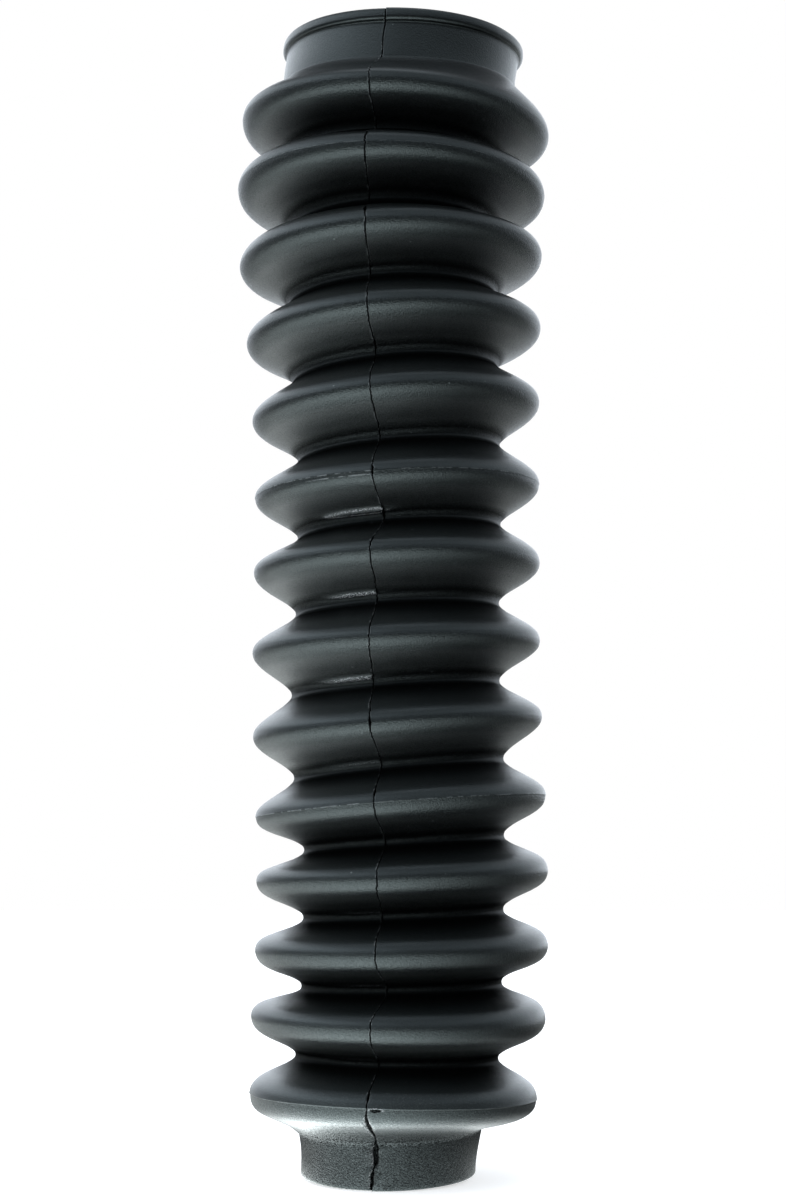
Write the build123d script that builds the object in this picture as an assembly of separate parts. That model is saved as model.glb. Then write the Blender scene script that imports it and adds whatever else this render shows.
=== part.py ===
from build123d import *
import os

# A rubber bellows boot: a soft folded sleeve, moulded in one piece, that closes round
# a sliding tube and keeps dirt off it. It stands on its small cuff with the collar on
# top. Z runs up its axis from the middle of the cuff's mouth. All sizes are in mm.

# The cuff, the small end, which a band holds on the thinner tube
cuff_bore = 35.0
cuff_wall = 2.5          # at the mouth
neck_wall = 3.6          # where the cuff meets the first fold
cuff_height = 7.9
neck_blend_out = 1.6     # the blend from the cuff's neck into the first fold
neck_blend_up = 2.4

# The collar, the large end, with a bead round its mouth that keeps a band from slipping
collar_bore = 52.0
collar_wall = 2.6
collar_height = 10.3     # from the end of its blend to its mouth
collar_blend_out = 1.6   # the blend from the last fold into the collar
collar_blend_down = 2.6
bead_reach = 1.3         # how far the bead stands out from the collar
bead_height = 2.9
bead_edge = 0.8          # its edges are taken off at 45 degrees

# The folds, counted from the cuff up. A crest's rounding is a band of this height,
# and the groove between two folds, its root, comes to an edge.
fold_count = 14
crest_band = 3.6
crest_diameter = 68.4
first_crest_diameter = 66.6
last_crest_diameter = 75.6
even_folds = 9           # this many have the same crest, and then they widen
widening_gaps = 4.5      # over this many gaps
cuff_end_root_diameter = 46.4
collar_end_root_diameter = 51.6

# The boot has been pulled open, and its ends have closed up again under their own
# spring: each gap between two crests is this share of the pitch, from the cuff up.
fold_pitch = 19.1
gap_shares = (0.91, 0.83, 0.86, 0.86, 0.97, 1.01, 0.99, 0.99, 1.03, 1.0, 0.96, 0.91, 0.83)
first_crest_rise = 9.6   # from the cuff to the middle of the first crest
last_crest_rise = 11.5   # from the middle of the last crest to the collar

# The rubber in the folds, measured square to the axis
crest_wall = 2.0
root_wall = 3.0

cuff_radius = cuff_bore / 2 + cuff_wall
neck_radius = cuff_bore / 2 + neck_wall
collar_radius = collar_bore / 2 + collar_wall
bead_radius = collar_radius + bead_reach


def eased(share):
    """Turns a share of the way into one that starts and ends gently."""
    held = min(max(share, 0), 1)
    return held**2 * (3 - 2 * held)


def crest_radius(fold):
    """Half the diameter over a crest: one size along the boot, wider by the collar."""
    if fold == 0:
        return first_crest_diameter / 2
    growth = eased((fold + 1 - even_folds) / widening_gaps)
    return (crest_diameter + growth * (last_crest_diameter - crest_diameter)) / 2


def root_radius(gap):
    """Half the diameter at the root above a fold, which grows evenly to the collar."""
    share = (gap + 0.5) / (fold_count - 1)
    return (cuff_end_root_diameter + share * (collar_end_root_diameter - cuff_end_root_diameter)) / 2


def crest_heights():
    """The height of the middle of each crest above the cuff's mouth."""
    heights = [cuff_height + first_crest_rise]
    for gap in range(fold_count - 1):
        heights.append(heights[-1] + fold_pitch * gap_shares[gap % len(gap_shares)])
    return heights


def root_heights(crests):
    """The height of each root, midway between two crests."""
    return [(below + above) / 2 for below, above in zip(crests, crests[1:])]


def outer_folds(crests):
    """The outside of the folds as points of radius and height, from the cuff up."""
    points = []
    for fold, height in enumerate(crests):
        points.append((crest_radius(fold), height - crest_band / 2))
        points.append((crest_radius(fold), height + crest_band / 2))
        if fold < fold_count - 1:
            points.append((root_radius(fold), root_heights(crests)[fold]))
    return points


def inner_folds(crests):
    """The inside of the folds as points of radius and height, from the cuff up."""
    points = []
    for fold, height in enumerate(crests):
        points.append((crest_radius(fold) - crest_wall, height))
        if fold < fold_count - 1:
            points.append((root_radius(fold) - root_wall, root_heights(crests)[fold]))
    return points


def cuff_outside():
    """The outside of the cuff and its blend into the first fold."""
    return [
        (cuff_radius, 0),
        (neck_radius, cuff_height),
        (neck_radius + neck_blend_out, cuff_height + neck_blend_up),
    ]


def collar_outside(foot):
    """The outside of the blend, the collar and its bead, from the last fold up."""
    mouth = foot + collar_height
    bead_foot = mouth - bead_height
    return [
        (collar_radius + collar_blend_out, foot - collar_blend_down),
        (collar_radius, foot),
        (collar_radius, bead_foot),
        (bead_radius - bead_edge, bead_foot),
        (bead_radius, bead_foot + bead_edge),
        (bead_radius, mouth - bead_edge),
        (bead_radius - bead_edge, mouth),
    ]


def section():
    """Half of the boot's section, drawn with the radius along X and the height along Y."""
    crests = crest_heights()
    collar_foot = crests[-1] + last_crest_rise
    outside = cuff_outside() + outer_folds(crests) + collar_outside(collar_foot)
    cuff_inside = [(cuff_bore / 2, 0), (cuff_bore / 2, cuff_height)]
    collar_inside = [(collar_bore / 2, collar_foot), (collar_bore / 2, collar_foot + collar_height)]
    inside = cuff_inside + inner_folds(crests) + collar_inside
    return make_face(Polyline(*outside, *reversed(inside), close=True))


def bellows_boot():
    """The whole boot, turned from its section round the axis."""
    return revolve(Plane.XZ * section(), Axis.Z)


os.makedirs("parts", exist_ok=True)
export_step(bellows_boot(), "parts/bellows_boot.step")
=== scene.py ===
# %% [markdown]
# # A rubber bellows boot
# A boot like this closes round a sliding tube and keeps dirt off it. It is moulded in
# one piece from black rubber: a narrow cuff at the bottom, fourteen folds, and a wide
# collar with a bead at the top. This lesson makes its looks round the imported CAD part.

# %% Load the frame and keep its box
import math

import bpy
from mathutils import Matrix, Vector


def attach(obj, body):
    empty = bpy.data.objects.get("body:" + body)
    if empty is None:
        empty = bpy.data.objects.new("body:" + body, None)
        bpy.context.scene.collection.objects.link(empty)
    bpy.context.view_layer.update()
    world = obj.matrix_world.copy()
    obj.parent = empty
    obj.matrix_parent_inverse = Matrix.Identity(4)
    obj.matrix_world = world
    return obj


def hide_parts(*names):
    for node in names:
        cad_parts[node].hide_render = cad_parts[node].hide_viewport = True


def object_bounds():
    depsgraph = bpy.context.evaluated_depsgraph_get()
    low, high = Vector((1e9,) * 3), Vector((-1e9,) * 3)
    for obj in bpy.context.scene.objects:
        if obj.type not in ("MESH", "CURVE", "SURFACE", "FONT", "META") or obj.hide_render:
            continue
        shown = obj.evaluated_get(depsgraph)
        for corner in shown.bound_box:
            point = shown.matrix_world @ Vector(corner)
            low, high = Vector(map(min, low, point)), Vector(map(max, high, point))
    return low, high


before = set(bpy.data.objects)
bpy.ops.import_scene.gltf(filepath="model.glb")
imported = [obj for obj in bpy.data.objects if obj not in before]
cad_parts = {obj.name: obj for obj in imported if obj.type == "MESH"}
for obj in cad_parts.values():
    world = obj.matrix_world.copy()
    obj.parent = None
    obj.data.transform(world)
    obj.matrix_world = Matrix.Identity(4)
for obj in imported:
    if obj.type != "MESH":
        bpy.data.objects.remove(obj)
cad_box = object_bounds()
MM = 0.001
cad_size = [round((high - low) / MM, 2) for low, high in zip(*cad_box)]
print("CAD box in mm:", cad_size)

# %% [markdown]
# ## The sizes
# The sizes are the CAD part's own, in millimetres, so the dressed boot lies on its
# solid. Only the rounding of the folds and a little spread of the roots are added here:
# the solid has narrow bands for crests and edges for roots, and soft rubber has neither.

# %% Sizes of the boot
CUFF_BORE_RADIUS = 17.5
CUFF_MOUTH_RADIUS = 20.2
CUFF_HEIGHT = 7.9
NECK_RADIUS = 21.1
COLLAR_BORE_RADIUS = 26.0
COLLAR_RADIUS = 28.6
COLLAR_HEIGHT = 10.3
BEAD_RADIUS = 29.7
BEAD_HEIGHT = 2.9
FOLDS = 14
PITCH = 19.1
GAP_SHARES = (0.91, 0.83, 0.86, 0.86, 0.97, 1.01, 0.99, 0.99, 1.03, 1.0, 0.96, 0.91, 0.83)
FIRST_CREST_RISE = 9.6
LAST_CREST_TO_COLLAR = 11.5
CREST_WALL = 2.0
ROOT_WALL = 3.0

crest_heights = [CUFF_HEIGHT + FIRST_CREST_RISE]
for share in GAP_SHARES:
    crest_heights.append(crest_heights[-1] + PITCH * share)
COLLAR_FOOT = crest_heights[-1] + LAST_CREST_TO_COLLAR
TOP = COLLAR_FOOT + COLLAR_HEIGHT
print("folds:", len(crest_heights), "top at", round(TOP, 2), "mm")

# %% Radii and roundings, fold by fold
FIRST_CREST_RADIUS = 33.4
CREST_RADIUS = 34.3
LAST_EVEN_FOLD = 8
WIDENING = 3.5
WIDENING_FOLDS = 4.5
CREST_ROUNDING = 3.2
ROUNDER_BELOW = 4
ROUNDER_ABOVE = 10
CUFF_END_ROOT_RADIUS = 23.2
ROOT_GROWTH = 2.6
ROOT_SPREAD = (0.3, -0.1, -0.2, -0.3, 0.7, 0.5, -0.2, -0.3, -0.5, -0.1, 0, -0.9, 0)
TIGHT_ROOTS = 4
TIGHT_ROOT_ROUNDING = 1.4
ROOT_ROUNDING = 1.7


def eased(share):
    """Turns a share of the way into one that starts and ends gently."""
    held = min(max(share, 0), 1)
    return held * held * (3 - 2 * held)


def crest_radius(fold):
    """One size along the boot, smaller at the cuff and wider towards the collar."""
    if fold == 0:
        return FIRST_CREST_RADIUS
    return CREST_RADIUS + WIDENING * eased((fold - LAST_EVEN_FOLD) / WIDENING_FOLDS)


def crest_rounding(fold):
    """The crests at both ends, which are pressed together, are a little rounder."""
    below = max(0, 1 - fold / ROUNDER_BELOW)
    return CREST_ROUNDING + below + 0.1 * max(0, fold - ROUNDER_ABOVE)


def root_radius(gap):
    """Grows evenly to the collar, apart from what each root has spread or drawn in."""
    return CUFF_END_ROOT_RADIUS + ROOT_GROWTH * (gap + 0.5) / (FOLDS - 1) + ROOT_SPREAD[gap]


def root_rounding(gap):
    """The roots nearest the cuff are pressed tighter than the rest."""
    return TIGHT_ROOT_ROUNDING if gap < TIGHT_ROOTS else ROOT_ROUNDING


print("crest radii:", [round(crest_radius(fold), 1) for fold in range(FOLDS)])

# %% [markdown]
# ## The section
# Turned parts start from half a section. Crests and roots are circles, and the flanks
# are gentle curves that leave one circle and meet the next, as rubber settles. The inner
# skin uses the same centres, with the wall taken off at the crests and added at the
# roots. Each point also keeps the way it faces, because the seam and the creases are
# pushed in or out along it.


# %% Arcs and flanks of the section
def arc(centre, radius, start, end, steps):
    """Points round a centre, each with the way from the centre out to it."""
    points = []
    for step in range(steps + 1):
        angle = start + (end - start) * step / steps
        way = (math.cos(angle), math.sin(angle))
        points.append((centre[0] + radius * way[0], centre[1] + radius * way[1], *way))
    return points


def touching(crest, crest_round, root, root_round, side):
    """The way a flank faces, which touches a crest and the root above or below it."""
    run = (root[0] - crest[0], root[1] - crest[1])
    opening = math.acos((crest_round + root_round) / math.hypot(*run))
    return math.atan2(run[1], run[0]) - side * opening


def flank(start, end, stops):
    """Points on the curve from one arc to the next: so far from the start, or back from the end."""
    run = math.dist(start[:2], end[:2])
    side = 1 if (start[0] - end[0]) * start[3] + (end[1] - start[1]) * start[2] > 0 else -1
    leave, meet = [(-side * run * ways[3], side * run * ways[2]) for ways in (start, end)]
    points = []
    for stop in stops:
        t = (stop if stop > 0 else run + stop) / run
        place = []
        way = []
        for k in (0, 1):
            gap = end[k] - start[k]
            bend = leave[k] + meet[k] - 2 * gap
            rest = 3 * gap - 2 * leave[k] - meet[k]
            place.append(start[k] + t * (leave[k] + t * (rest + t * bend)))
            way.append(leave[k] + t * (2 * rest + 3 * t * bend))
        size = math.hypot(*way)
        points.append((*place, side * way[1] / size, -side * way[0] / size))
    return points


def facing(points, sign):
    """The same points, turned to face the other way when the sign is negative."""
    return [(radius, height, sign * out, sign * up) for radius, height, out, up in points]


print("helpers for the section: arc, touching, flank and facing")

# %% Sizes of the blends, and the folds where the mould parts across
NECK_TOP = 9.7
NECK_ROUNDING = 0.9
INNER_ROUNDING = 5.0
COLLAR_ROUNDING = 12.0
COLLAR_CREASE = math.radians(32)
FLANK_EASE = math.radians(12)
LEDGES = {0: 0.2, 4: 0.08, 8: 0.1, 12: 0.05}
LINES = {0: 1.0, 4: 0.9, 8: 0.8, 12: 0.25}
TWICE_PARTED = 8
PARTING_STEPS = (-0.3, -0.12, 0.12, 0.3)
SECOND_STEPS = (-1.1, -0.9, -0.75, -0.6)
NEAR_CREST = (0.5, 1.5, 3.2)
ABOVE_ROOT = (0.25, 0.5, 0.75, 1.05, 1.4, 1.8, 2.3, 3.0, 4.0)
BELOW_ROOT = (-2.3, -1.0, -0.4)
INNER_STOP = 3.5


def circles(wall, thick, neck_round, neck, collar):
    """Crest and root circles of a skin, each with a centre and a radius."""
    crests = []
    roots = [((neck + neck_round, NECK_TOP), neck_round)]
    for fold, height in enumerate(crest_heights):
        rounding = crest_rounding(fold)
        crests.append(((crest_radius(fold) - rounding, height), rounding - wall))
        if fold < FOLDS - 1:
            rounding = root_rounding(fold)
            middle = (height + crest_heights[fold + 1]) / 2
            roots.append(((root_radius(fold) + rounding, middle), rounding + thick))
    roots.append(collar)
    return crests, roots


rise = COLLAR_ROUNDING * math.sin(COLLAR_CREASE)
reach = COLLAR_ROUNDING * math.cos(COLLAR_CREASE)
creased = ((COLLAR_RADIUS + reach, COLLAR_FOOT + rise), COLLAR_ROUNDING)
plain = ((COLLAR_BORE_RADIUS + INNER_ROUNDING, COLLAR_FOOT), INNER_ROUNDING)
outer_circles = circles(0, 0, NECK_ROUNDING, NECK_RADIUS, creased)
inner_circles = circles(CREST_WALL, ROOT_WALL, INNER_ROUNDING, CUFF_BORE_RADIUS, plain)
print("outer circles:", len(outer_circles[0]), "crests and", len(outer_circles[1]), "roots")


# %% One skin of folds
def crest_arc(crest, rounding, low, high, steps, close_steps):
    """The rounding of a crest, with close points at its middle where the mould parts."""
    points = arc(crest, rounding, low + FLANK_EASE, high - FLANK_EASE, steps)
    for step in close_steps:
        points += arc(crest, rounding, step / rounding, step / rounding, 1)[:1]
    return sorted(points, key=lambda point: point[1])


def wound(angle, start):
    """The same angle, within one turn after the start."""
    return start + (angle - start) % (2 * math.pi)


def folds(crests, roots, is_outer):
    """The folds of one skin from the cuff up: each point, its fold and its place there."""
    crest_steps, root_steps = (9, 7) if is_outer else (3, 4)
    points = []
    coming = math.pi
    for fold, (crest, rounding) in enumerate(crests):
        below, above = roots[fold], roots[fold + 1]
        low = touching(crest, rounding, *below, -1)
        high = touching(crest, rounding, *above, 1)
        coming = wound(coming, low + math.pi)
        root = facing(arc(*below, coming, low + math.pi + FLANK_EASE, root_steps), -1)
        close = PARTING_STEPS if is_outer and fold in LINES else ()
        close += SECOND_STEPS if is_outer and fold == TWICE_PARTED else ()
        top = crest_arc(crest, rounding, low, high, crest_steps, close)
        up_to = [-stop for stop in reversed(NEAR_CREST)]
        stops = (*ABOVE_ROOT, *up_to) if is_outer else (-INNER_STOP,)
        coming = high + math.pi - (FLANK_EASE if fold < FOLDS - 1 else 0)
        end = facing(arc(*above, coming, coming, 1)[:1], -1)[0]
        points += [(point, fold, "root") for point in root]
        points += [(point, fold, "under") for point in flank(root[-1], top[0], stops)]
        points += [(point, fold, "crest") for point in top]
        stops = (*NEAR_CREST, *BELOW_ROOT) if is_outer else (INNER_STOP,)
        points += [(point, fold, "over") for point in flank(top[-1], end, stops)]
    last = math.pi + (COLLAR_CREASE if is_outer else 0)
    rest = facing(arc(*roots[-1], wound(coming, last), last, 5), -1)
    return points + [(point, FOLDS, "root") for point in rest]


outer = folds(*outer_circles, True)
inner = folds(*inner_circles, False)
print("points on the outer folds:", len(outer), "and the inner:", len(inner))

# %% [markdown]
# ## The ends of the section
# The cuff and the collar close the section. Their edges are rounded, because a mould
# never gives a perfectly sharp edge, and the rounding is what catches the light. A
# bevel could round them later, but here each edge is one short arc of the section. The
# bead is almost a full round.


# %% A rounded corner
def corner(place, radius, start, steps=3):
    """A rounded corner that turns a quarter, from facing one way to facing the next."""
    turn = math.radians(start)
    middle = turn + math.pi / 4
    reach = radius * math.sqrt(2)
    centre = (place[0] - reach * math.cos(middle), place[1] - reach * math.sin(middle))
    return arc(centre, radius, turn, turn + math.pi / 2, steps)


print("a corner has", len(corner((1, 1), 0.5, 0)), "points")

# %% The cuff, which leans out to its neck and is a little drawn in at its waist
CUFF_LEAN = math.atan((NECK_RADIUS - CUFF_MOUTH_RADIUS) / NECK_TOP)
CUFF_WAIST = 0.25
CUFF_EDGE = 0.45
CUFF_BORE_EDGE = 0.4
CUFF_ROWS = (1.0, 2.0, 3.0, 4.0, 5.0, 6.0, 7.0, 8.0, 8.9, 9.4)
CUFF_BORE_ROWS = (6.5, 3)
cuff_way = (math.cos(CUFF_LEAN), -math.sin(CUFF_LEAN))


def cuff_point(height):
    """The outside of the cuff at a height, and the way it faces there."""
    share = height / NECK_TOP
    waist = CUFF_WAIST * 4 * share * (1 - share)
    radius = CUFF_MOUTH_RADIUS + (NECK_RADIUS - CUFF_MOUTH_RADIUS) * share - waist
    return (radius, height, *cuff_way)


cuff = corner((CUFF_MOUTH_RADIUS, 0), CUFF_EDGE, -90)
cuff += [cuff_point(height) for height in CUFF_ROWS]
cuff_bore = [(CUFF_BORE_RADIUS, height, -1, 0) for height in CUFF_BORE_ROWS]
cuff_bore += corner((CUFF_BORE_RADIUS, 0), CUFF_BORE_EDGE, 180)
print("points on the cuff:", len(cuff), "and in its bore:", len(cuff_bore))

# %% The collar, its bead and the rim of its bore
COLLAR_ROWS = (0.12, 0.5, 2.2, 4.0, 5.6, 6.7)
COLLAR_BORE_ROWS = (3, 7, 11)
BEAD_FILLET = 0.2
BEAD_LOWER_EDGE = 1.05
BEAD_UPPER_EDGE = 1.1
RIM_EDGE = 0.5
bead_foot = TOP - BEAD_HEIGHT
fillet = (COLLAR_RADIUS + BEAD_FILLET, bead_foot - BEAD_FILLET)
collar = [(COLLAR_RADIUS, COLLAR_FOOT + above, 1, 0) for above in COLLAR_ROWS]
collar += facing(arc(fillet, BEAD_FILLET, math.pi, math.pi / 2, 2), -1)
collar += corner((BEAD_RADIUS, bead_foot), BEAD_LOWER_EDGE, -90, 6)
collar += corner((BEAD_RADIUS, TOP), BEAD_UPPER_EDGE, 0, 6)
rim = corner((COLLAR_BORE_RADIUS, TOP), RIM_EDGE, 90)
bore = [(COLLAR_BORE_RADIUS, TOP - drop, -1, 0) for drop in COLLAR_BORE_ROWS]
print("points on the collar:", len(collar), "and in its bore:", len(rim + bore))

# %% The closed section, in one list
section = [(point, -1, "cuff") for point in cuff] + outer
section += [(point, FOLDS, "collar") for point in collar]
section += [(point, FOLDS, "rim") for point in rim + bore]
section += [(point, fold, "inner") for point, fold, _ in reversed(inner)]
section += [(point, -1, "inner") for point in cuff_bore]
print("points in the section:", len(section))

# %% [markdown]
# ## How the boot has settled
# Soft rubber doesn't keep the shape that the mould gave it. Each fold has rolled a
# little to one side, nodded forwards or back, slid off the axis, and been lifted or let
# down by its neighbours. Random numbers could do this, but this boot has settled in its
# own way, so the values are set fold by fold from the cuff up. Angles are in degrees.

# %% Roll, nod, slide and lift
CUFF_ROLL = (0.5, 2.0, -0.9)
FOLD_ROLL = (-1.3, -0.7, 0.8, 2, 4.3, 4.1, 2.4, 2, 2.8, 3.9, 3.2, 2.2, -1.3, -3)
ROOT_ROLL = (0, 1, 1, 1, 1.2, 0.8, 0.9, 1.4, 1.3, 0.9, 0.2, 0.5, 0.3)
COLLAR_ROLL = (-0.9, -1.6)
CUFF_NOD = (-3.6, -1.5, 0.5)
FOLD_NOD = (1, -1, -0.5, -0.5, 0.5, -1, -1, 0, -1.3, -0.6, 0.2, 0.5, 1.2, -0.6)
COLLAR_NOD = (-6, -3.2)
CUFF_SLIDE = (-1.1, -0.6, -0.2)
FOLD_SLIDE = (0, 1.2, 2, 2.2, 1.8, 1.1, 0.8, 0.9, 1, 0.7, 0.2, -0.5, -0.4, 0.6)
ROOT_SLIDE = (0.3, 0.4, 0.3, 0.6, -0.1, -0.3, 0.2, 0.5, 0.5, 0.1, 0, -0.2, -0.1)
COLLAR_SLIDE = (1.5, 2.6)
CUFF_LIFT = (-0.3, -0.9, -0.4)
FOLD_LIFT = (-0.4, 0.3, 0.3, 0.6, 0.4, 0.7, 0.4, 0.5, 0.2, 0.1, -0.3, 0, -0.3, 0.4)
ROOT_LIFT = (0, -0.4, -0.4, -0.4, -0.4, -0.3, -0.3, -0.3, -0.2, 0, 0, 0, 0)
COLLAR_LIFT = (0, 0)
UNDERSIDE_RISE = 3.5
marks = [0, NECK_TOP, NECK_TOP + UNDERSIDE_RISE, *crest_heights, COLLAR_FOOT, TOP]
root_marks = [(low + high) / 2 for low, high in zip(crest_heights, crest_heights[1:])]
all_marks = sorted([*marks, *root_marks])


def with_roots(at_cuff, at_folds, at_roots, at_collar):
    """The values from the cuff to the collar, with the roots' own shares in between."""
    values = [*at_cuff, at_folds[0]]
    for below, above, extra in zip(at_folds, at_folds[1:], at_roots):
        values += [(below + above) / 2 + extra, above]
    return [*values, *at_collar]


rolls = with_roots(CUFF_ROLL, FOLD_ROLL, ROOT_ROLL, COLLAR_ROLL)
slides = with_roots(CUFF_SLIDE, FOLD_SLIDE, ROOT_SLIDE, COLLAR_SLIDE)
lifts = with_roots(CUFF_LIFT, FOLD_LIFT, ROOT_LIFT, COLLAR_LIFT)
nods = (*CUFF_NOD, *FOLD_NOD, *COLLAR_NOD)
print("settled at", len(all_marks), "heights, rolls from", min(rolls), "to", max(rolls))

# %% [markdown]
# ## The seam
# The mould closes from two sides, so a seam runs down the boot, a little left of the
# front, and another down its back. It is a fine groove with a raised lip on each side,
# and one half of the boot stands a hair proud of the other. The seam isn't straight: it
# wanders to one side or the other at each root, has knots where rubber was squeezed out,
# and opens into a real gap in the cuff. A boolean cut could make it, but a groove pushed
# into the skin along its own facing keeps the mesh closed and clean.

# %% Where the seam runs, and how far it drifts from there in millimetres
SEAM_TURN = math.radians(-9.8)
CREST_DRIFT = (0, -0.3, 0, 0.1, -0.2, -0.4, -0.3, -0.3, 0.1, 0, 0, 0.4, 0.4, 0.3)
ROOT_DRIFT = (-0.1, 0.8, -0.8, -0.3, 0.3, -0.9, -0.5, 0.6, -0.2, -0.3, -0.8, -0.7, 0.5)
CUFF_DRIFT = (
    (0, -0.3),
    (3.3, -0.3),
    (4.5, 0),
    (6.3, 0.6),
    (8.5, 0.2),
    (11, 0.5),
    (13, 0.2),
    (16, -0.2),
)
COLLAR_DRIFT = ((COLLAR_FOOT - 3, -0.5), (COLLAR_FOOT + 0.3, 0.7), (TOP, 0.7))
fold_drifts = [*zip(crest_heights, CREST_DRIFT), *zip(root_marks, ROOT_DRIFT)]
drift_marks, drifts = zip(*sorted([*fold_drifts, *CUFF_DRIFT, *COLLAR_DRIFT]))
print("the seam drifts from", min(drifts), "to", max(drifts), "mm")

# %% How wide it gapes at each height, and the heights of its knots
GAP_WIDTHS = (
    (0, 0.5),
    (1.2, 3.2),
    (4, 3.4),
    (5.2, 1.2),
    (6.5, 5.5),
    (9.4, 5),
    (10.8, 1.4),
    (12, 3.2),
    (14, 4.4),
    (17, 1),
)
KNOTS = (20, 86, 102, 142.5, 150.5, 159.5, 190, 219, 235.5)
KNOT_LENGTH = 0.9
gap_marks, gap_widths = zip(*GAP_WIDTHS)
print("the seam gapes", max(gap_widths), "times its width at most and has", len(KNOTS), "knots")


# %% How the boot stands at any height
def between(marks, values, height):
    """The value at a height, eased from one mark to the next."""
    for low, high, a, b in zip(marks, marks[1:], values, values[1:]):
        if height <= high:
            return a + (b - a) * eased((height - low) / (high - low))
    return values[-1]


def settled(height):
    """How the boot stands at a height, and what its seam does there."""
    return {
        "roll": math.tan(math.radians(between(all_marks, rolls, height))),
        "nod": math.tan(math.radians(between(marks, nods, height))),
        "slide": between(all_marks, slides, height) * MM,
        "lift": between(all_marks, lifts, height) * MM,
        "drift": between(drift_marks, drifts, height) * MM,
        "gap": between(gap_marks, gap_widths, height),
        "knot": sum(math.exp(-(((height - knot) / KNOT_LENGTH) ** 2)) for knot in KNOTS),
    }


print("at mid height it has", {k: round(v, 4) for k, v in settled(TOP / 2).items()})

# %% [markdown]
# ## Creases, parting lines and dull roots
# Some folds carry a pinched crease to the left of the seam, just above the root, and
# the mould also parts across four crests. The flanks under the crests keep a soft bloom,
# and the roots and the flanks beside them are painted with shade. Each is a number that
# says how strongly it shows at a point of the section, so both the turning tree and the
# rubber can read it.

# %% Creases: how high, where their middle is past the root's end, and how wide
CREASES = {
    1: (0.1, 0.0, 0.5),
    2: (0.12, 0.0, 0.5),
    3: (0.12, 0.0, 0.5),
    5: (0.13, -0.3, 0.5),
    6: (0.32, 0.1, 0.6),
    7: (0.28, 0.1, 0.6),
    8: (0.55, 0.7, 0.75),
}
root_ends = {fold: point[:2] for point, fold, place in outer if place == "root"}


def crease_height(point, fold, place):
    """How far a point of a root, or of the flank above it, is pinched out."""
    if place not in ("root", "under") or fold not in CREASES:
        return 0.0
    height, middle, width = CREASES[fold]
    side = -1 if place == "root" else 1
    away = (side * math.dist(point[:2], root_ends[fold]) - middle) / width
    return height * math.exp(-away * away) * MM


print("creased folds:", sorted(CREASES))

# %% Painted shade in the roots and blooming flanks, by how far up its flank a point lies
SHADE_UNDER_CREST = 0.28
SHADE_OVER_CREST = 0.55
MORE_OVER_LOW_CRESTS = 0.25
LOW_CRESTS_END = 5
LOW_CRESTS_FADE = 3
DARKEST_ROOT_SHADE = 1.05
SHADE_LOST_PER_FOLD = 0.04
LEAST_ROOT_SHADE = 0.75
BLOOM_START = 0.02
BLOOM_RISE = 0.25
BLOOM_END = 0.62
BLOOM_FALL = 0.22
FACING_DOWN = -0.02


def flank_share(point, fold):
    """How far up a flank a point lies: 0 at the root, 1 at the crest and past the end folds."""
    gap = fold if fold < FOLDS and point[1] > crest_heights[fold] else fold - 1
    if not 0 <= gap < FOLDS - 1:
        return 1
    return (point[0] - root_radius(gap)) / (crest_radius(fold) - root_radius(gap))


def valley_shade_share(point, fold, place):
    """Painted shade in a root, which reaches further along the flank below it than above."""
    low_share = eased((LOW_CRESTS_END - fold) / LOW_CRESTS_FADE)
    over = SHADE_OVER_CREST + MORE_OVER_LOW_CRESTS * low_share
    reach = SHADE_UNDER_CREST if place == "under" else over
    at_root = max(LEAST_ROOT_SHADE, DARKEST_ROOT_SHADE - SHADE_LOST_PER_FOLD * fold)
    depth = at_root if place == "root" else 1.0
    return depth * (1 - eased(flank_share(point, fold) / reach))


def bloom(point, fold):
    """The soft bloom in the middle of the flank under a crest."""
    share = flank_share(point, fold)
    rising = eased((share - BLOOM_START) / BLOOM_RISE)
    return rising * (1 - eased((share - BLOOM_END) / BLOOM_FALL))


middle_flank = [point for point, fold, place in outer if place == "under" and fold == 7]
print("bloom up one flank:", [round(bloom(point, 7), 2) for point in middle_flank[::3]])

# %% Everything that a section point knows
FAR_FROM_LINE = 9.0
LEDGE_HEIGHT = 1.5
LEDGE_START = -0.05
MARK_NAMES = ("groove", "crease", "parting", "second", "blob", "ledge", "valley", "lower", "flank")


def surface_marks(point, fold, place):
    """How strongly the seam, creases, parting lines, painted root shade and bloom show at a point.
    """
    found = {name: 0.0 for name in MARK_NAMES}
    found["from_line"] = FAR_FROM_LINE
    found["groove"] = 0.0 if place in ("rim", "inner") else 1.0
    found["crease"] = crease_height(point, fold, place)
    if place in ("root", "under", "crest", "over"):
        # painted shade in the roots and on the flanks beside them
        found["valley"] = valley_shade_share(point, fold, place)
        found["lower"] = 1.0 if point[3] < FACING_DOWN else 0.0
    if place == "under" and fold > 0:
        found["flank"] = bloom(point, fold)
    if place == "crest" and fold in LINES:
        above = point[1] - crest_heights[fold]
        drop = LEDGES[fold] * math.exp(-((above / LEDGE_HEIGHT) ** 2)) * MM
        found["parting"] = LINES[fold]
        found["from_line"] = above
        found["second"] = 1.0 if fold == TWICE_PARTED else 0.0
        found["blob"] = 1.0 if fold == 0 else 0.0
        found["ledge"] = -drop if above < LEDGE_START else 0.0
    return found


rows = []
for point, fold, place in section:
    row = {"reach": point[0] * MM, "rise": point[1] * MM, "out": point[2], "up": point[3]}
    rows.append({**row, **settled(point[1]), **surface_marks(point, fold, place)})
print("each of", len(rows), "points knows", ", ".join(rows[0]))


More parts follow.
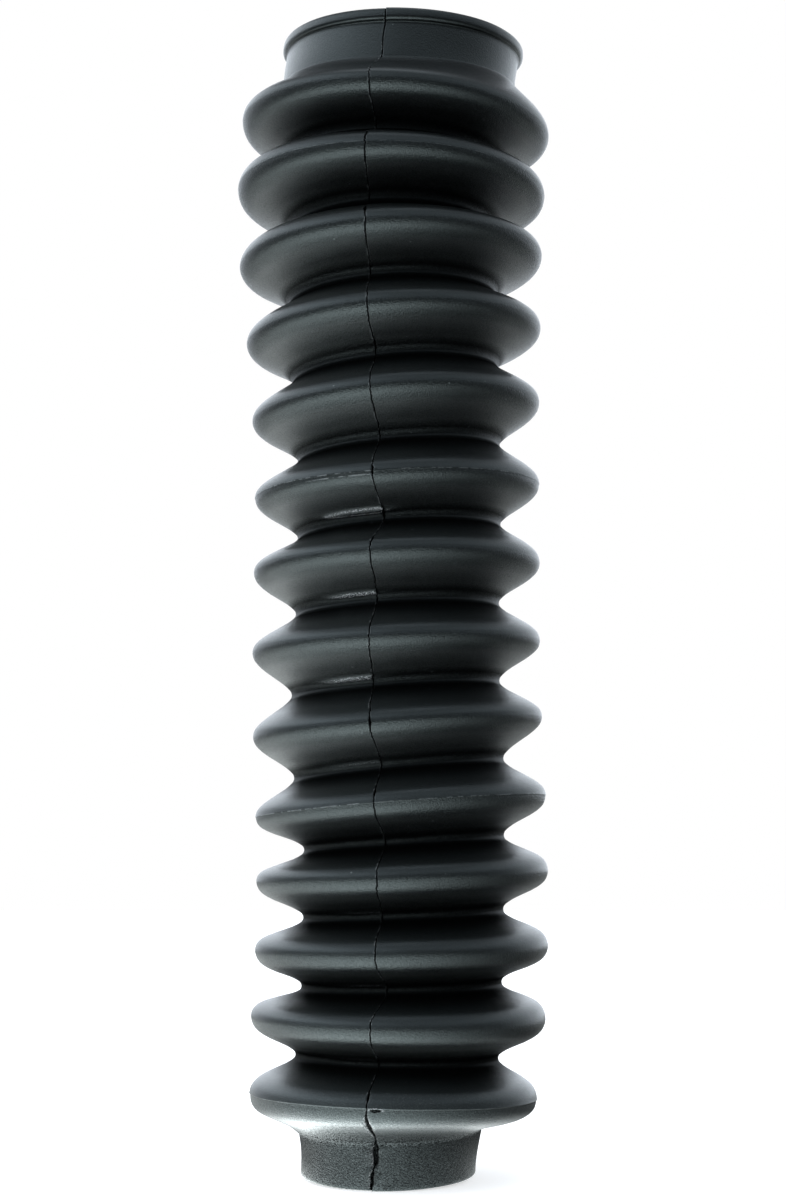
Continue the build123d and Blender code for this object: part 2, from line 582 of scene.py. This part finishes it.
# %% The section as a mesh of points and edges, with its numbers
def closed_line(name, places, numbers):
    """A closed line of points, each with its named numbers, as a mesh object."""
    mesh = bpy.data.meshes.new(name)
    edges = [(i, (i + 1) % len(places)) for i in range(len(places))]
    mesh.from_pydata(places, edges, [])
    for key in numbers[0]:
        layer = mesh.attributes.new(key, "FLOAT", "POINT")
        layer.data.foreach_set("value", [row[key] for row in numbers])
    made = bpy.data.objects.new(name, mesh)
    bpy.context.scene.collection.objects.link(made)
    return made


boot = closed_line("boot", [(row["reach"], 0, row["rise"]) for row in rows], rows)
print("section mesh:", len(boot.data.vertices), "points,", len(rows[0]), "numbers each")

# %% [markdown]
# ## The circle
# The section is turned along a circle of columns. An even circle would need thousands
# of columns before a fine groove showed, so the columns are even over most of the way
# round, and close together at the two seams.

# %% The circle it turns round, with close columns at the two seams
COLUMNS = 110
FRONT_STEPS = (0.09, 0.18, 0.28, 0.42, 0.62, 0.95, 1.45)
BACK_STEPS = (0.12, 0.3, 0.6, 1.1)
STEP_RADIUS = 34.2
FRONT_CLEAR = 0.045
BACK_CLEAR = 0.035
turns = {0.0, math.pi}
for step in FRONT_STEPS:
    turns |= {step / STEP_RADIUS, -step / STEP_RADIUS}
for step in BACK_STEPS:
    turns |= {math.pi - step / STEP_RADIUS, step / STEP_RADIUS - math.pi}
for column in range(1, COLUMNS):
    turn = -math.pi + 2 * math.pi * column / COLUMNS
    if FRONT_CLEAR < abs(turn) < math.pi - BACK_CLEAR:
        turns.add(turn)
turns = sorted(turns)
circle_points = [(math.sin(turn), -math.cos(turn), 0) for turn in turns]
circle = closed_line("turning_circle", circle_points, [{"turn": turn} for turn in turns])
print("columns:", len(turns), "so", 2 * len(turns) * len(rows), "triangles")

# %% [markdown]
# ## Maths with nodes
# Geometry Nodes and shaders both have a Math node, so one small class serves both. It
# wraps a socket, and an expression such as `1 - mask * 2` adds the nodes it needs.


# %% A socket that does arithmetic, and one method that makes any other node
class Socket:
    def __init__(self, tree, socket):
        self.tree, self.socket = tree, socket

    def math(self, operation, *values):
        return node(self.tree, "ShaderNodeMath", {"operation": operation}, dict(enumerate(values)))

    def __add__(self, other):
        return self.math("ADD", self, other)

    def __sub__(self, other):
        return self.math("SUBTRACT", self, other)

    def __rsub__(self, other):
        return self.math("SUBTRACT", other, self)

    def __mul__(self, other):
        return self.math("MULTIPLY", self, other)

    def __truediv__(self, other):
        return self.math("DIVIDE", self, other)

    def __rtruediv__(self, other):
        return self.math("DIVIDE", other, self)

    def __pow__(self, other):
        return self.math("POWER", self, other)

    def __abs__(self):
        return self.math("ABSOLUTE", self)

    def __neg__(self):
        return self.math("MULTIPLY", self, -1.0)

    __radd__ = __add__
    __rmul__ = __mul__

    def bell(self, width):
        """1 at zero, falling away on both sides."""
        share = self / width
        return self.math("EXPONENT", -(share * share))

    def within(self, low, high):
        """0 below low, 1 above high, eased between."""
        settings = {"interpolation_type": "SMOOTHSTEP"}
        sockets = {"Value": self, "From Min": low, "From Max": high}
        return node(self.tree, "ShaderNodeMapRange", settings, sockets)


def node(tree, kind, settings=None, sockets=None, out=0):
    """Adds a node: its settings first, then values or links, and gives one output, if any."""
    made = tree.nodes.new(kind)
    for key, value in (settings or {}).items():
        setattr(made, key, value)
    for key, value in (sockets or {}).items():
        if isinstance(value, Socket):
            tree.links.new(value.socket, made.inputs[key])
        else:
            made.inputs[key].default_value = value
    return Socket(tree, made.outputs[out]) if len(made.outputs) else None


print("made the socket class")

# %% [markdown]
# ## Turning the section
# Spin or a Screw modifier would turn the section too, but a Geometry Nodes tree can
# place every point by rule: the groove, the lips, the creases and the boot's uneven
# stand are all numbers that stay open to change until the end. Curve to Mesh joins the
# two lines into a closed skin, and Set Position then puts each point where its own
# numbers say.

# %% Named inputs of the tree
TREE_INPUTS = {
    "Circle": ("NodeSocketObject", None),
    "Groove width": ("NodeSocketFloat", 0.14 * MM),
    "Groove depth": ("NodeSocketFloat", 0.26 * MM),
    "Lip height": ("NodeSocketFloat", 0.08 * MM),
    "Flash height": ("NodeSocketFloat", 0.06 * MM),
    "Mismatch": ("NodeSocketFloat", 0.16 * MM),
    "Seam wander": ("NodeSocketFloat", 0.7 * MM),
    "Unevenness": ("NodeSocketFloat", 0.2 * MM),
    "Patch size": ("NodeSocketFloat", 26.0 * MM),
    "Seed": ("NodeSocketFloat", 4.0),
    "Rubber": ("NodeSocketMaterial", None),
}
turning = bpy.data.node_groups.new("turn_the_section", "GeometryNodeTree")
turning.interface.new_socket("Geometry", in_out="INPUT", socket_type="NodeSocketGeometry")
turning.interface.new_socket("Geometry", in_out="OUTPUT", socket_type="NodeSocketGeometry")
socket_names = {}
for name, (kind, _) in TREE_INPUTS.items():
    made = turning.interface.new_socket(name, in_out="INPUT", socket_type=kind)
    socket_names[name] = made.identifier
print("inputs:", ", ".join(TREE_INPUTS))


# %% The two lines joined into a skin
def given(name):
    """One of the tree's named inputs."""
    return node(turning, "NodeGroupInput", out=list(TREE_INPUTS).index(name) + 1)


def number(name):
    """One of the numbers that each point of the two lines carries."""
    return node(turning, "GeometryNodeInputNamedAttribute", {"data_type": "FLOAT"}, {"Name": name})


line = node(turning, "GeometryNodeMeshToCurve", sockets={"Mesh": node(turning, "NodeGroupInput")})
ring = node(turning, "GeometryNodeObjectInfo", sockets={"Object": given("Circle")}, out="Geometry")
path = node(turning, "GeometryNodeMeshToCurve", sockets={"Mesh": ring})
skin = node(turning, "GeometryNodeCurveToMesh", sockets={"Curve": path, "Profile Curve": line})
print("nodes so far:", len(turning.nodes))

# %% Where the seams run
DRIFT_REACH = 0.35
WANDER_WAVES = 2.2 * MM


def waver(along, size, detail=2.0):
    """Noise along one line, from 0 to 1, whose waves are about this long."""
    sockets = {"W": along / size + given("Seed"), "Detail": detail}
    return node(turning, "ShaderNodeTexNoise", {"noise_dimensions": "1D"}, sockets)


turn = number("turn")
reach = number("reach")
rise = number("rise")
drift = number("drift") + (waver(rise, WANDER_WAVES) - 0.5) * given("Seam wander")
angle = turn + SEAM_TURN + drift / reach * turn.bell(DRIFT_REACH)
side = turn.math("SIGN", turn)
front_off = turn * reach
back_off = (turn - side * math.pi) * reach
print("nodes so far:", len(turning.nodes))

# %% The groove across them, and the lips beside the front one
WIDTH_WAVES = 1.6 * MM
LIP_WAVES = 1.1 * MM
OTHER_LIP = 0.3
BACK_SEAM = 0.6
LIP_DISTANCE = 1.8
LIP_WIDTH = 0.8
knot = number("knot")
gap = number("gap")
swelling = (waver(rise, WIDTH_WAVES) * 0.9 + 0.55) * gap * (knot + 1.0)
width = given("Groove width") * swelling
groove = front_off.bell(width) + back_off.bell(given("Groove width")) * BACK_SEAM
broken = (waver(rise + side * OTHER_LIP, LIP_WAVES) - 0.42).within(0.0, 0.2)
lips = (abs(front_off) - width * LIP_DISTANCE).bell(width * LIP_WIDTH) * broken
print("nodes so far:", len(turning.nodes))

# %% How far the seam and the step between the halves push each point
STEP_REACH = 7.0 * MM
on_skin = number("groove")
depth = given("Groove depth") * (gap * 0.5 + 0.5) * (knot * 0.8 + 1.0)
cut = groove * depth * on_skin
lip = lips * given("Lip height") * (gap + knot * 1.5) * on_skin
half_step = side * abs(front_off).bell(STEP_REACH) * given("Mismatch") * on_skin * 0.5
print("nodes so far:", len(turning.nodes))


# %% How far the creases and the parting lines push it, by how far round it lies
def span(fade_in, fade_out):
    """1 from one turn round the boot to another, in radians, eased at both ends."""
    return turn.within(*fade_in) * (1.0 - turn.within(*fade_out))


LEFT_CREASE = ((-0.75, -0.25), (-0.03, 0.01))
RIGHT_CREASE = ((0.01, 0.03), (0.03, 0.2))
RIGHT_SHARE = 0.25
SECOND_LINE = ((-0.55, -0.3), (-0.03, 0.0))
FLASH_WIDTH = 0.2
pinch = number("crease") * (span(*LEFT_CREASE) + span(*RIGHT_CREASE) * RIGHT_SHARE)
flash = number("parting") * number("from_line").bell(FLASH_WIDTH) * given("Flash height")
second = number("second") * span(*SECOND_LINE)
push = lip - cut + half_step + pinch + flash + number("ledge")
print("nodes so far:", len(turning.nodes))


# %% Each point's place: out from the axis, then rolled, nodded, slid and lifted
def vectors(operation, sockets):
    """A Vector Math node in the turning tree."""
    return node(turning, "ShaderNodeVectorMath", {"operation": operation}, sockets)


far = reach + number("out") * push
tall = rise + number("up") * push
across = far * angle.math("SINE", angle)
ahead = far * angle.math("COSINE", angle)
tall = tall + number("lift") + number("roll") * across + number("nod") * ahead
axes = {"X": across + number("slide"), "Y": -ahead, "Z": tall}
place = node(turning, "ShaderNodeCombineXYZ", sockets=axes)
patch = {"Vector": place, "W": given("Seed"), "Scale": 1.0 / given("Patch size"), "Detail": 1.0}
patches = node(turning, "ShaderNodeTexNoise", {"noise_dimensions": "4D"}, patch, out="Color")
uneven = vectors("SUBTRACT", {0: patches, 1: (0.5, 0.5, 0.5)})
uneven = vectors("SCALE", {0: uneven, "Scale": given("Unevenness") * 2.0})
place = vectors("ADD", {0: place, 1: uneven})
skin = node(turning, "GeometryNodeSetPosition", sockets={"Geometry": skin, "Position": place})
print("nodes so far:", len(turning.nodes))

# %% Masks for the rubber, then the end of the tree
BULGE_HEIGHT = 0.3
FAR_FROM_SEAM = 9.0
bulge = pinch / (BULGE_HEIGHT * MM)
MASKS = {
    "seam": groove * on_skin,
    "from_seam": front_off * on_skin / MM + (1.0 - on_skin) * FAR_FROM_SEAM,
    "from_line": number("from_line"),
    "parting": number("parting"),
    "knot": knot,
    # painted shade in the roots, lifted where the creases bulge
    "valley": number("valley") - bulge,
    "lower": number("lower"),
    "flank": number("flank"),
    "bulge": bulge,
    "second": second,
    "wide": gap.within(1.4, 2.6) * on_skin,
    "blob": number("blob"),
}
kinds = {"data_type": "FLOAT", "domain": "POINT"}
for name, value in MASKS.items():
    store = {"Geometry": skin, "Name": name, "Value": value}
    skin = node(turning, "GeometryNodeStoreNamedAttribute", kinds, store)
skin = node(turning, "GeometryNodeSetShadeSmooth", sockets={"Geometry": skin})
skin = node(turning, "GeometryNodeRealizeInstances", sockets={"Geometry": skin})
finish = {"Geometry": skin, "Material": given("Rubber")}
skin = node(turning, "GeometryNodeSetMaterial", sockets=finish)
node(turning, "NodeGroupOutput", sockets={0: skin})
print("the tree has", len(turning.nodes), "nodes and", len(turning.links), "links")

# %% [markdown]
# ## The rubber
# Moulded black rubber is nearly black with a soft sheen, so most of its look is how
# broadly it reflects the studio. Its skin has a fine matt grain from the mould, faint
# hatch marks on the cuff, a bloom of dust, and single specks that cling to it. All of
# it reads the boot's own place and the masks on its mesh, so nothing slides when the
# view changes. An image could be painted instead, but noise needs no unwrapping and
# stays sharp up close.

# %% A material to fill
rubber = bpy.data.materials.new("black_rubber")
rubber.use_nodes = True
mat = rubber.node_tree
mat.nodes.clear()


def noise(place, size, detail=2.0, kind="Fac", rough=0.5):
    """Noise whose patches are about this size."""
    sockets = {"Vector": place, "Scale": 1.0 / size, "Detail": detail, "Roughness": rough}
    return node(mat, "ShaderNodeTexNoise", {"noise_dimensions": "3D"}, sockets, out=kind)


def part(vector, axis):
    """One of the three numbers of a vector or a colour."""
    return node(mat, "ShaderNodeSeparateXYZ", sockets={0: vector}, out=axis)


def mixed(share, first, second):
    """One colour turned into another by a share."""
    settings = {"data_type": "RGBA", "clamp_factor": True}
    return node(mat, "ShaderNodeMix", settings, {0: share, 6: first, 7: second}, out=2)


def mask(name):
    """A mask that the turning tree left on the boot."""
    return node(mat, "ShaderNodeAttribute", {"attribute_name": name}, out="Fac")


here = node(mat, "ShaderNodeTexCoord", out="Object")
height = part(here, "Z")
print("started the rubber")

# %% Grain, hatch and specks
GRAIN_SIZE = 0.34 * MM
COARSE_SIZE = 2.6 * MM
CLOUD_SIZE = 28 * MM
HATCH_SIZE = 0.5 * MM
CUFF_FADES = (9 * MM, 13 * MM)
HATCH_TILT = 0.7
HATCH_STRETCH = 0.12
SPECK_SPACING = 4.5 * MM
SPECK_SIZE = 0.05
grain = noise(here, GRAIN_SIZE)
coarse = noise(here, COARSE_SIZE)
cloud = noise(here, CLOUD_SIZE, 3.0)
on_the_cuff = 1.0 - height.within(*CUFF_FADES)
tilt = {"Vector": here, "Rotation": (0, HATCH_TILT, 0)}
tilted = node(mat, "ShaderNodeMapping", {"vector_type": "TEXTURE"}, tilt)
stretch = {"Vector": tilted, "Scale": (1.0, 1.0, HATCH_STRETCH)}
stretched = node(mat, "ShaderNodeMapping", {"vector_type": "POINT"}, stretch)
hatch = noise(stretched, HATCH_SIZE, 1.0)
cells = {"Vector": here, "Scale": 1.0 / SPECK_SPACING, "Randomness": 1.0}
speck_off = node(mat, "ShaderNodeTexVoronoi", {"feature": "F1"}, cells, out="Distance")
speck_kind = node(mat, "ShaderNodeTexVoronoi", {"feature": "F1"}, cells, out="Color")
speck_size = part(speck_kind, "X").within(0.3, 1.0) * SPECK_SIZE
specks = 1.0 - (speck_off - speck_size).within(-0.006, 0.012)
print("nodes in the rubber:", len(mat.nodes))

# %% [markdown]
# The groove of the seam and the flash on the parting lines are finer in places than the
# mesh, so their torn edges are drawn in the rubber, as painted shade in the groove and
# under the flash, and as painted glints and highlights on the flash and lips. Each point
# carries its distance from the seam and from the parting line in millimetres, and noise
# added to that distance makes a line ragged.

# %% The seam: painted shade along its groove, wider at the knots, and a painted highlight on its lips
KNOT_REACH = 0.22
LIP_FROM_SEAM = 0.28
LIP_LINE = 0.11
from_seam = mask("from_seam")
at_knot = mask("knot")
# Painted shade along the seam's fine groove, wider at the knots.
jagged = from_seam + (noise(here, 0.45 * MM, 3.0) - 0.5) * (at_knot * 0.7 + 0.3)
seam_painted_shade = 1.0 - (abs(jagged) - at_knot * KNOT_REACH).within(0.03, 0.1)
# A painted highlight, broken, on the lips beside the seam.
lip_torn = noise(here, 1.2 * MM, 3.0).within(0.5, 0.58)
lip_painted_highlight = (jagged + LIP_FROM_SEAM).bell(LIP_LINE) * lip_torn
# A painted highlight on the left edge of the cuff's wide gap.
left_side = from_seam.within(0.1, -0.3)
gap_edge_painted_highlight = (mask("seam") - 0.3).bell(0.16) * left_side * mask("wide")
print("nodes in the rubber:", len(mat.nodes))

# %% The parting lines: a painted glint where the flash is torn, and painted shadow just below
LIGHT_WIDTH = 0.09
SECOND_DROP = 0.82
SECOND_WIDTH = 0.13
DARK_DROP = 0.24
DARK_WIDTH = 0.07
from_line = mask("from_line")
parting = mask("parting")
torn = noise(here, 1.9 * MM, 5.0).within(0.45, 0.53)
ragged = from_line + (noise(here, 0.5 * MM) - 0.5) * 0.12
# The painted glint on the torn flash, brighter to the left of the seam.
on_the_left = from_seam.within(0.3, -0.3) * 0.6 + 0.4
parting_painted_glint = ragged.bell(LIGHT_WIDTH) * torn * parting * on_the_left
parting_painted_glint = parting_painted_glint * (1.0 - mask("blob") * 0.65)
# A second painted glint line, lower on the twice-parted crest.
second_torn = noise(here, 2.2 * MM).within(0.35, 0.5)
second_painted_glint = (ragged + SECOND_DROP).bell(SECOND_WIDTH) * mask("second") * second_torn
parting_painted_glint = parting_painted_glint + second_painted_glint * 0.9
# Painted shadow just below each parting line, under its ledge.
parting_painted_shadow = (ragged + DARK_DROP).bell(DARK_WIDTH) * parting * 0.7
print("nodes in the rubber:", len(mat.nodes))

# %% A painted blob of flash beside the seam, an uneven oval on the lowest parting line, with painted shadow inside and a painted highlight on its upper rim
BLOB_FROM_SEAM = 1.9
BLOB_BELOW_LINE = 0.5
BLOB_WIDTH = 1.9
BLOB_HEIGHT = 0.6
blob_across = from_seam - BLOB_FROM_SEAM + (noise(here, 0.9 * MM) - 0.5) * 1.2
blob_above = from_line + BLOB_BELOW_LINE + (noise(here, 0.7 * MM) - 0.5) * 0.3
blob_across = blob_across / BLOB_WIDTH
blob_above = blob_above / BLOB_HEIGHT
from_blob = (blob_across * blob_across + blob_above * blob_above) ** 0.5
# A painted highlight on the blob's upper rim, and painted shadow inside the oval.
blob_painted_highlight = (from_blob - 0.9).bell(0.16) * mask("blob") * from_line.within(-0.75, -0.3)
blob_painted_shadow = mask("blob") * (1.0 - from_blob.within(0.5, 0.75))
print("nodes in the rubber:", len(mat.nodes))


# %% All the painted shade, and all the painted glints and highlights, with some grit
def larger(first, second):
    """The larger of two numbers at each point."""
    return first.math("MAXIMUM", first, second)


# Painted shade of the seam's groove, under the parting ledges and in the blob's oval.
painted_shade = larger(mask("seam"), seam_painted_shade * 0.8)
painted_shade = larger(painted_shade, parting_painted_shadow * 0.8)
painted_shade = larger(painted_shade, blob_painted_shadow)
bulging = mask("bulge")
sparkle = grain.within(0.4, 0.65)
sand = noise(here, 0.26 * MM, 1.0).within(0.58, 0.72)
# Light grit on the cuff and the lowest crest, and painted glints on the crease bulges and the faces
# that look down.
grit_and_glint_share = on_the_cuff * 0.22 + mask("lower") * 0.05 + mask("blob") * 0.1
grit_and_painted_glints = bulging.within(0.3, 1.0) * 0.25 * sparkle + sand * grit_and_glint_share
# A painted glint along each crease bulge.
pinched = bulging.within(0.25, 0.7) * (1.0 - bulging.within(1.1, 1.4))
crease_painted_glint = pinched * noise(here, 0.22 * MM, 1.0).within(0.46, 0.7)
# Painted highlights on the cuff gap's left edge, the blob's rim and the creases.
painted_highlights = gap_edge_painted_highlight * sparkle + blob_painted_highlight * sparkle * 0.6 + crease_painted_glint
print("nodes in the rubber:", len(mat.nodes))

# %% Colour: black rubber, then dust, painted shade in the grooves, grit and painted glints, and painted highlights on the edges
BLACK = (0.002, 0.0026, 0.0028, 1)
WORN = (0.004, 0.0052, 0.0055, 1)
DUST = (0.09, 0.1, 0.1, 1)
# Next: the grey of grit and painted glints, the grey of painted highlights, and the black of
# painted shade.
GRIT_AND_GLINT_GREY = (0.2, 0.215, 0.215, 1)
PAINTED_HIGHLIGHT_GREY = (0.8, 0.82, 0.82, 1)
PAINTED_SHADE_BLACK = (0.002, 0.002, 0.002, 1)
colour = mixed(cloud.within(0.35, 0.7) * 0.5 + coarse * 0.2, BLACK, WORN)
colour = mixed(specks * 0.8, colour, DUST)
colour = mixed(painted_shade.within(0.15, 0.6), colour, PAINTED_SHADE_BLACK)
colour = mixed(grit_and_painted_glints + parting_painted_glint + lip_painted_highlight * 0.5, colour, GRIT_AND_GLINT_GREY)
colour = mixed(painted_highlights, colour, PAINTED_HIGHLIGHT_GREY)
print("nodes in the rubber:", len(mat.nodes))

# %% Roughness and relief, both stronger where the mould was coarser
PLAIN_ROUGHNESS = 0.26
RELIEF_DEPTH = 0.07 * MM
roughness = grain * 0.1 + cloud * 0.06 + mask("lower") * 0.05
roughness = roughness + mask("flank") * 0.14 + PLAIN_ROUGHNESS
grainy = mask("lower") + on_the_cuff + bulging * 2.0 + 0.8
relief = grain * grainy + coarse * 0.3 + on_the_cuff * hatch * 0.5
bumps = {"Strength": 1.0, "Distance": RELIEF_DEPTH, "Height": relief}
bump = node(mat, "ShaderNodeBump", sockets=bumps, out="Normal")
print("nodes in the rubber:", len(mat.nodes))

# %% The shader: sheen on the skin, a soft coat for the bloom, and painted shade as black matt rubber in the roots and seams, with the cuff's matt
RUBBER_TINT = (0.84, 0.98, 1.0, 1)
MATT_AND_SHADE_BLACK = (0.001, 0.001, 0.001, 1)
glossy_skin = {
    "Base Color": colour,
    "Roughness": roughness,
    "Normal": bump,
    "IOR": 1.5,
    "Specular Tint": RUBBER_TINT,
    "Coat Weight": mask("flank") * 0.9,
    "Coat Roughness": 0.5,
}
shader = node(mat, "ShaderNodeBsdfPrincipled", sockets=glossy_skin)
# A black matt rubber, mixed in as painted shade in the roots and the seam, and as the cuff's matt.
black_matt_and_shade = node(mat, "ShaderNodeBsdfDiffuse", sockets={"Color": MATT_AND_SHADE_BLACK, "Roughness": 1.0})
valley = mask("valley")
matt_and_painted_shade = larger(valley * 0.9, painted_shade.within(0.25, 0.7) * 0.93)
matt_and_painted_shade = larger(matt_and_painted_shade, on_the_cuff * 0.6 + 0.1)
speckled = (noise(here, 0.3 * MM, 3.0) - 0.5) * (mask("lower") + on_the_cuff * 0.5 + 0.5)
matt_and_painted_shade = matt_and_painted_shade - speckled * (1.0 - valley * 0.7)
shader = node(mat, "ShaderNodeMixShader", sockets={0: matt_and_painted_shade, 1: shader, 2: black_matt_and_shade})
node(mat, "ShaderNodeOutputMaterial", sockets={"Surface": shader})
print("nodes in the rubber:", len(mat.nodes))

# %% [markdown]
# ## Making the boot
# The modifier's inputs are set by their identifiers before Blender works the tree out
# for the first time. The result is then kept as a plain mesh, because only a plain mesh
# is exported, and the two lines that it was made from go away.


# %% Run the tree and keep its mesh
def frozen(source, tree, identifiers, values):
    """Runs a tree on an object and leaves a plain mesh in its place."""
    modifier = source.modifiers.new(tree.name, "NODES")
    modifier.node_group = tree
    for name, value in values.items():
        modifier[identifiers[name]] = value
    graph = bpy.context.evaluated_depsgraph_get()
    mesh = bpy.data.meshes.new_from_object(source.evaluated_get(graph))
    source.modifiers.remove(modifier)
    source.data = mesh
    mesh.name = source.name
    return mesh


values = {name: value for name, (_, value) in TREE_INPUTS.items()}
values.update({"Circle": circle, "Rubber": rubber})
skin_mesh = frozen(boot, turning, socket_names, values)
bpy.data.objects.remove(circle)
print("boot:", len(skin_mesh.polygons), "faces")


# %% Faces that point outwards
def volume(mesh):
    """The room inside a closed mesh, negative when its faces point inwards."""
    mesh.calc_loop_triangles()
    total = 0.0
    for triangle in mesh.loop_triangles:
        a, b, c = (mesh.vertices[i].co for i in triangle.vertices)
        total += a.dot(b.cross(c)) / 6
    return total


if volume(skin_mesh) < 0:
    skin_mesh.flip_normals()
print("boot holds", round(volume(skin_mesh) / MM**3), "cubic mm of rubber")
lowest = min(vertex.co.z for vertex in skin_mesh.vertices)
print("lowest point at", round(lowest / MM, 2), "mm")

# %% The boot rides on the frame and stands for its solid
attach(boot, "root")
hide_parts("bellows_boot")
print("pieces:", boot.name)

# %% [markdown]
# ## The studio
# The floor is a plain pale sheet. The background is white because camera rays that miss
# the boot see a white world, not because more light is thrown on the boot. Black rubber
# shows what is round it. So the world holds a bright band that gives the shoulders their
# grey and the folds their light edges, and the floor has rings of light that only the
# rubber's sheen sees, which give each crest its line. Lamps could do this, but each lamp
# would show in the sheen as a square, and a world and a floor have no edges.

# %% Floor
FLOOR_HALF = 3.0
CORNERS = ((-1, -1), (1, -1), (1, 1), (-1, 1))
floor_mesh = bpy.data.meshes.new("floor")
floor_places = [(x * FLOOR_HALF, y * FLOOR_HALF, lowest) for x, y in CORNERS]
floor_mesh.from_pydata(floor_places, [], [(0, 1, 2, 3)])
floor = bpy.data.objects.new("floor", floor_mesh)
bpy.context.scene.collection.objects.link(floor)
paper = bpy.data.materials.new("pale_floor")
paper.use_nodes = True
floor_mesh.materials.append(paper)
print("floor at", round(lowest / MM, 2), "mm")


# %% How light lies on the floor, with rings by distance, width, bearing, power and strength
def towards(bearing, power, x, y):
    """1 at this turn from the front, counted to the right, falling to 0 on the opposite side."""
    angle = math.radians(bearing)
    size = (x * x + y * y) ** 0.5
    return ((x * math.sin(angle) - y * math.cos(angle)) / size * 0.5 + 0.5) ** power


NEAR_LIGHT = 6.6
FAR_LIGHT = 2.2
BACK_LIGHT = 0.6
UNDER_LIGHT = 7.5
LEAST_LIGHT = 0.1
RINGS = (
    (0.022, 0.012, -60, 3.0, 6.0),
    (0.13, 0.09, -30, 2.0, 2.8),
    (0.31, 0.09, -30, 2.0, 4.5),
)
mat = paper.node_tree
mat.nodes.clear()
spot = node(mat, "ShaderNodeTexCoord", out="Object")
x = part(spot, "X")
y = part(spot, "Y")
away = (x * x + y * y) ** 0.5
near = away.bell(0.08) * away.within(0.0, 0.03)
far = away.bell(0.5) * (1.0 - near) * (away.within(0.04, 0.2) * 0.5 + 0.5)
seen = towards(-35, 4.0, x, y) * near * NEAR_LIGHT
seen = seen + towards(-93, 1.1, x, y) * far * FAR_LIGHT
seen = seen + towards(180, 4.0, x, y) * away.within(0.1, 0.35) * BACK_LIGHT
for distance, width, bearing, power, strength in RINGS:
    seen = seen + (away - distance).bell(width) * towards(bearing, power, x, y) * strength
seen = seen + away.bell(0.03) * UNDER_LIGHT + LEAST_LIGHT
print("floor nodes:", len(mat.nodes))

# %% How the floor looks to the camera, and in the rubber's sheen
WHITE = (1, 1, 1, 1)
PAPER_GREY = (0.8, 0.8, 0.8, 1)
PAPER_TINT = (0.94, 1, 1, 1)
PAPER_GLOW = 0.6
to_camera = node(mat, "ShaderNodeLightPath", out="Is Camera Ray")
to_gloss = node(mat, "ShaderNodeLightPath", out="Is Glossy Ray")
matt = node(mat, "ShaderNodeBsdfDiffuse", sockets={"Color": PAPER_GREY})
lit = {"Color": WHITE, "Strength": to_camera * PAPER_GLOW}
glow = node(mat, "ShaderNodeEmission", sockets=lit)
sheen = node(mat, "ShaderNodeEmission", sockets={"Color": PAPER_TINT, "Strength": seen})
both = node(mat, "ShaderNodeAddShader", sockets={0: matt, 1: glow})
surface = node(mat, "ShaderNodeMixShader", sockets={0: to_gloss, 1: both, 2: sheen})
node(mat, "ShaderNodeOutputMaterial", sockets={"Surface": surface})
print("floor nodes:", len(mat.nodes))

# %% The world: white to the camera, and a band of light for the rubber
SKY_TINT = (0.93, 1, 1.08, 1)
BAND_HEIGHT = 0.53
BAND_WIDTH = 0.24
LEFT_LIGHT = 2.4
BEHIND_LIGHT = 1.2
EVEN_LIGHT = 0.82
RISING_LIGHT = 0.5
OVERHEAD_LIGHT = 1.3
LOW_BACK_LIGHT = 3.0
world = bpy.data.worlds.new("studio")
bpy.context.scene.world = world
world.use_nodes = True
mat = world.node_tree
mat.nodes.clear()
to_camera = node(mat, "ShaderNodeLightPath", out="Is Camera Ray")
way = node(mat, "ShaderNodeTexCoord", out="Generated")
x, y, z = [part(way, axis) for axis in "XYZ"]
band = (z - BAND_HEIGHT).bell(BAND_WIDTH)
sides = larger(-x, 0.0) * LEFT_LIGHT + larger(y, 0.0) * BEHIND_LIGHT + EVEN_LIGHT
overhead = (z - 1.0).bell(0.06) * OVERHEAD_LIGHT
light = band * sides + z * RISING_LIGHT + overhead
light = light * (1.0 - (z - 0.76).bell(0.18) * towards(180, 3.0, x, y))
light = light + z.bell(0.38) * towards(170, 4.0, x, y) * LOW_BACK_LIGHT
strength = to_camera + (1.0 - to_camera) * light
sky = mixed(to_camera, SKY_TINT, WHITE)
back = node(mat, "ShaderNodeBackground", sockets={"Color": sky, "Strength": strength})
node(mat, "ShaderNodeOutputWorld", sockets={"Surface": back})
print("world nodes:", len(mat.nodes))

# %% One soft lamp from above, for the matt light alone
LAMP_PLACE = Vector((-0.5, -0.5, 1.3))
LAMP_TARGET = Vector((0, 0, 0.14))
lamp_data = bpy.data.lights.new("key_lamp", "AREA")
lamp_data.shape = "SQUARE"
lamp_data.size = 1.2
lamp_data.energy = 4
lamp = bpy.data.objects.new("key_lamp", lamp_data)
bpy.context.scene.collection.objects.link(lamp)
lamp.location = LAMP_PLACE
lamp.rotation_euler = (LAMP_TARGET - LAMP_PLACE).to_track_quat("-Z", "Y").to_euler()
lamp.visible_camera = False
lamp.visible_glossy = False
print("lamp at", tuple(LAMP_PLACE))

# %% [markdown]
# ## The camera
# The camera looks slightly up from low in front, and is close, so the folds near its
# own height show edge on and those above show their undersides.

# %% Camera
camera_data = bpy.data.cameras.new("camera")
camera_data.lens = 61.2
camera_data.sensor_width = 36
camera_data.clip_start = 0.01
camera_data.clip_end = 50
camera = bpy.data.objects.new("camera", camera_data)
bpy.context.scene.collection.objects.link(camera)
camera.location = (0, -0.4854, 0.0694)
camera.rotation_euler = (math.radians(97.5), 0, 0)
bpy.context.scene.camera = camera
bpy.context.scene.view_settings.view_transform = "Standard"
print("camera at", tuple(round(v, 3) for v in camera.location))
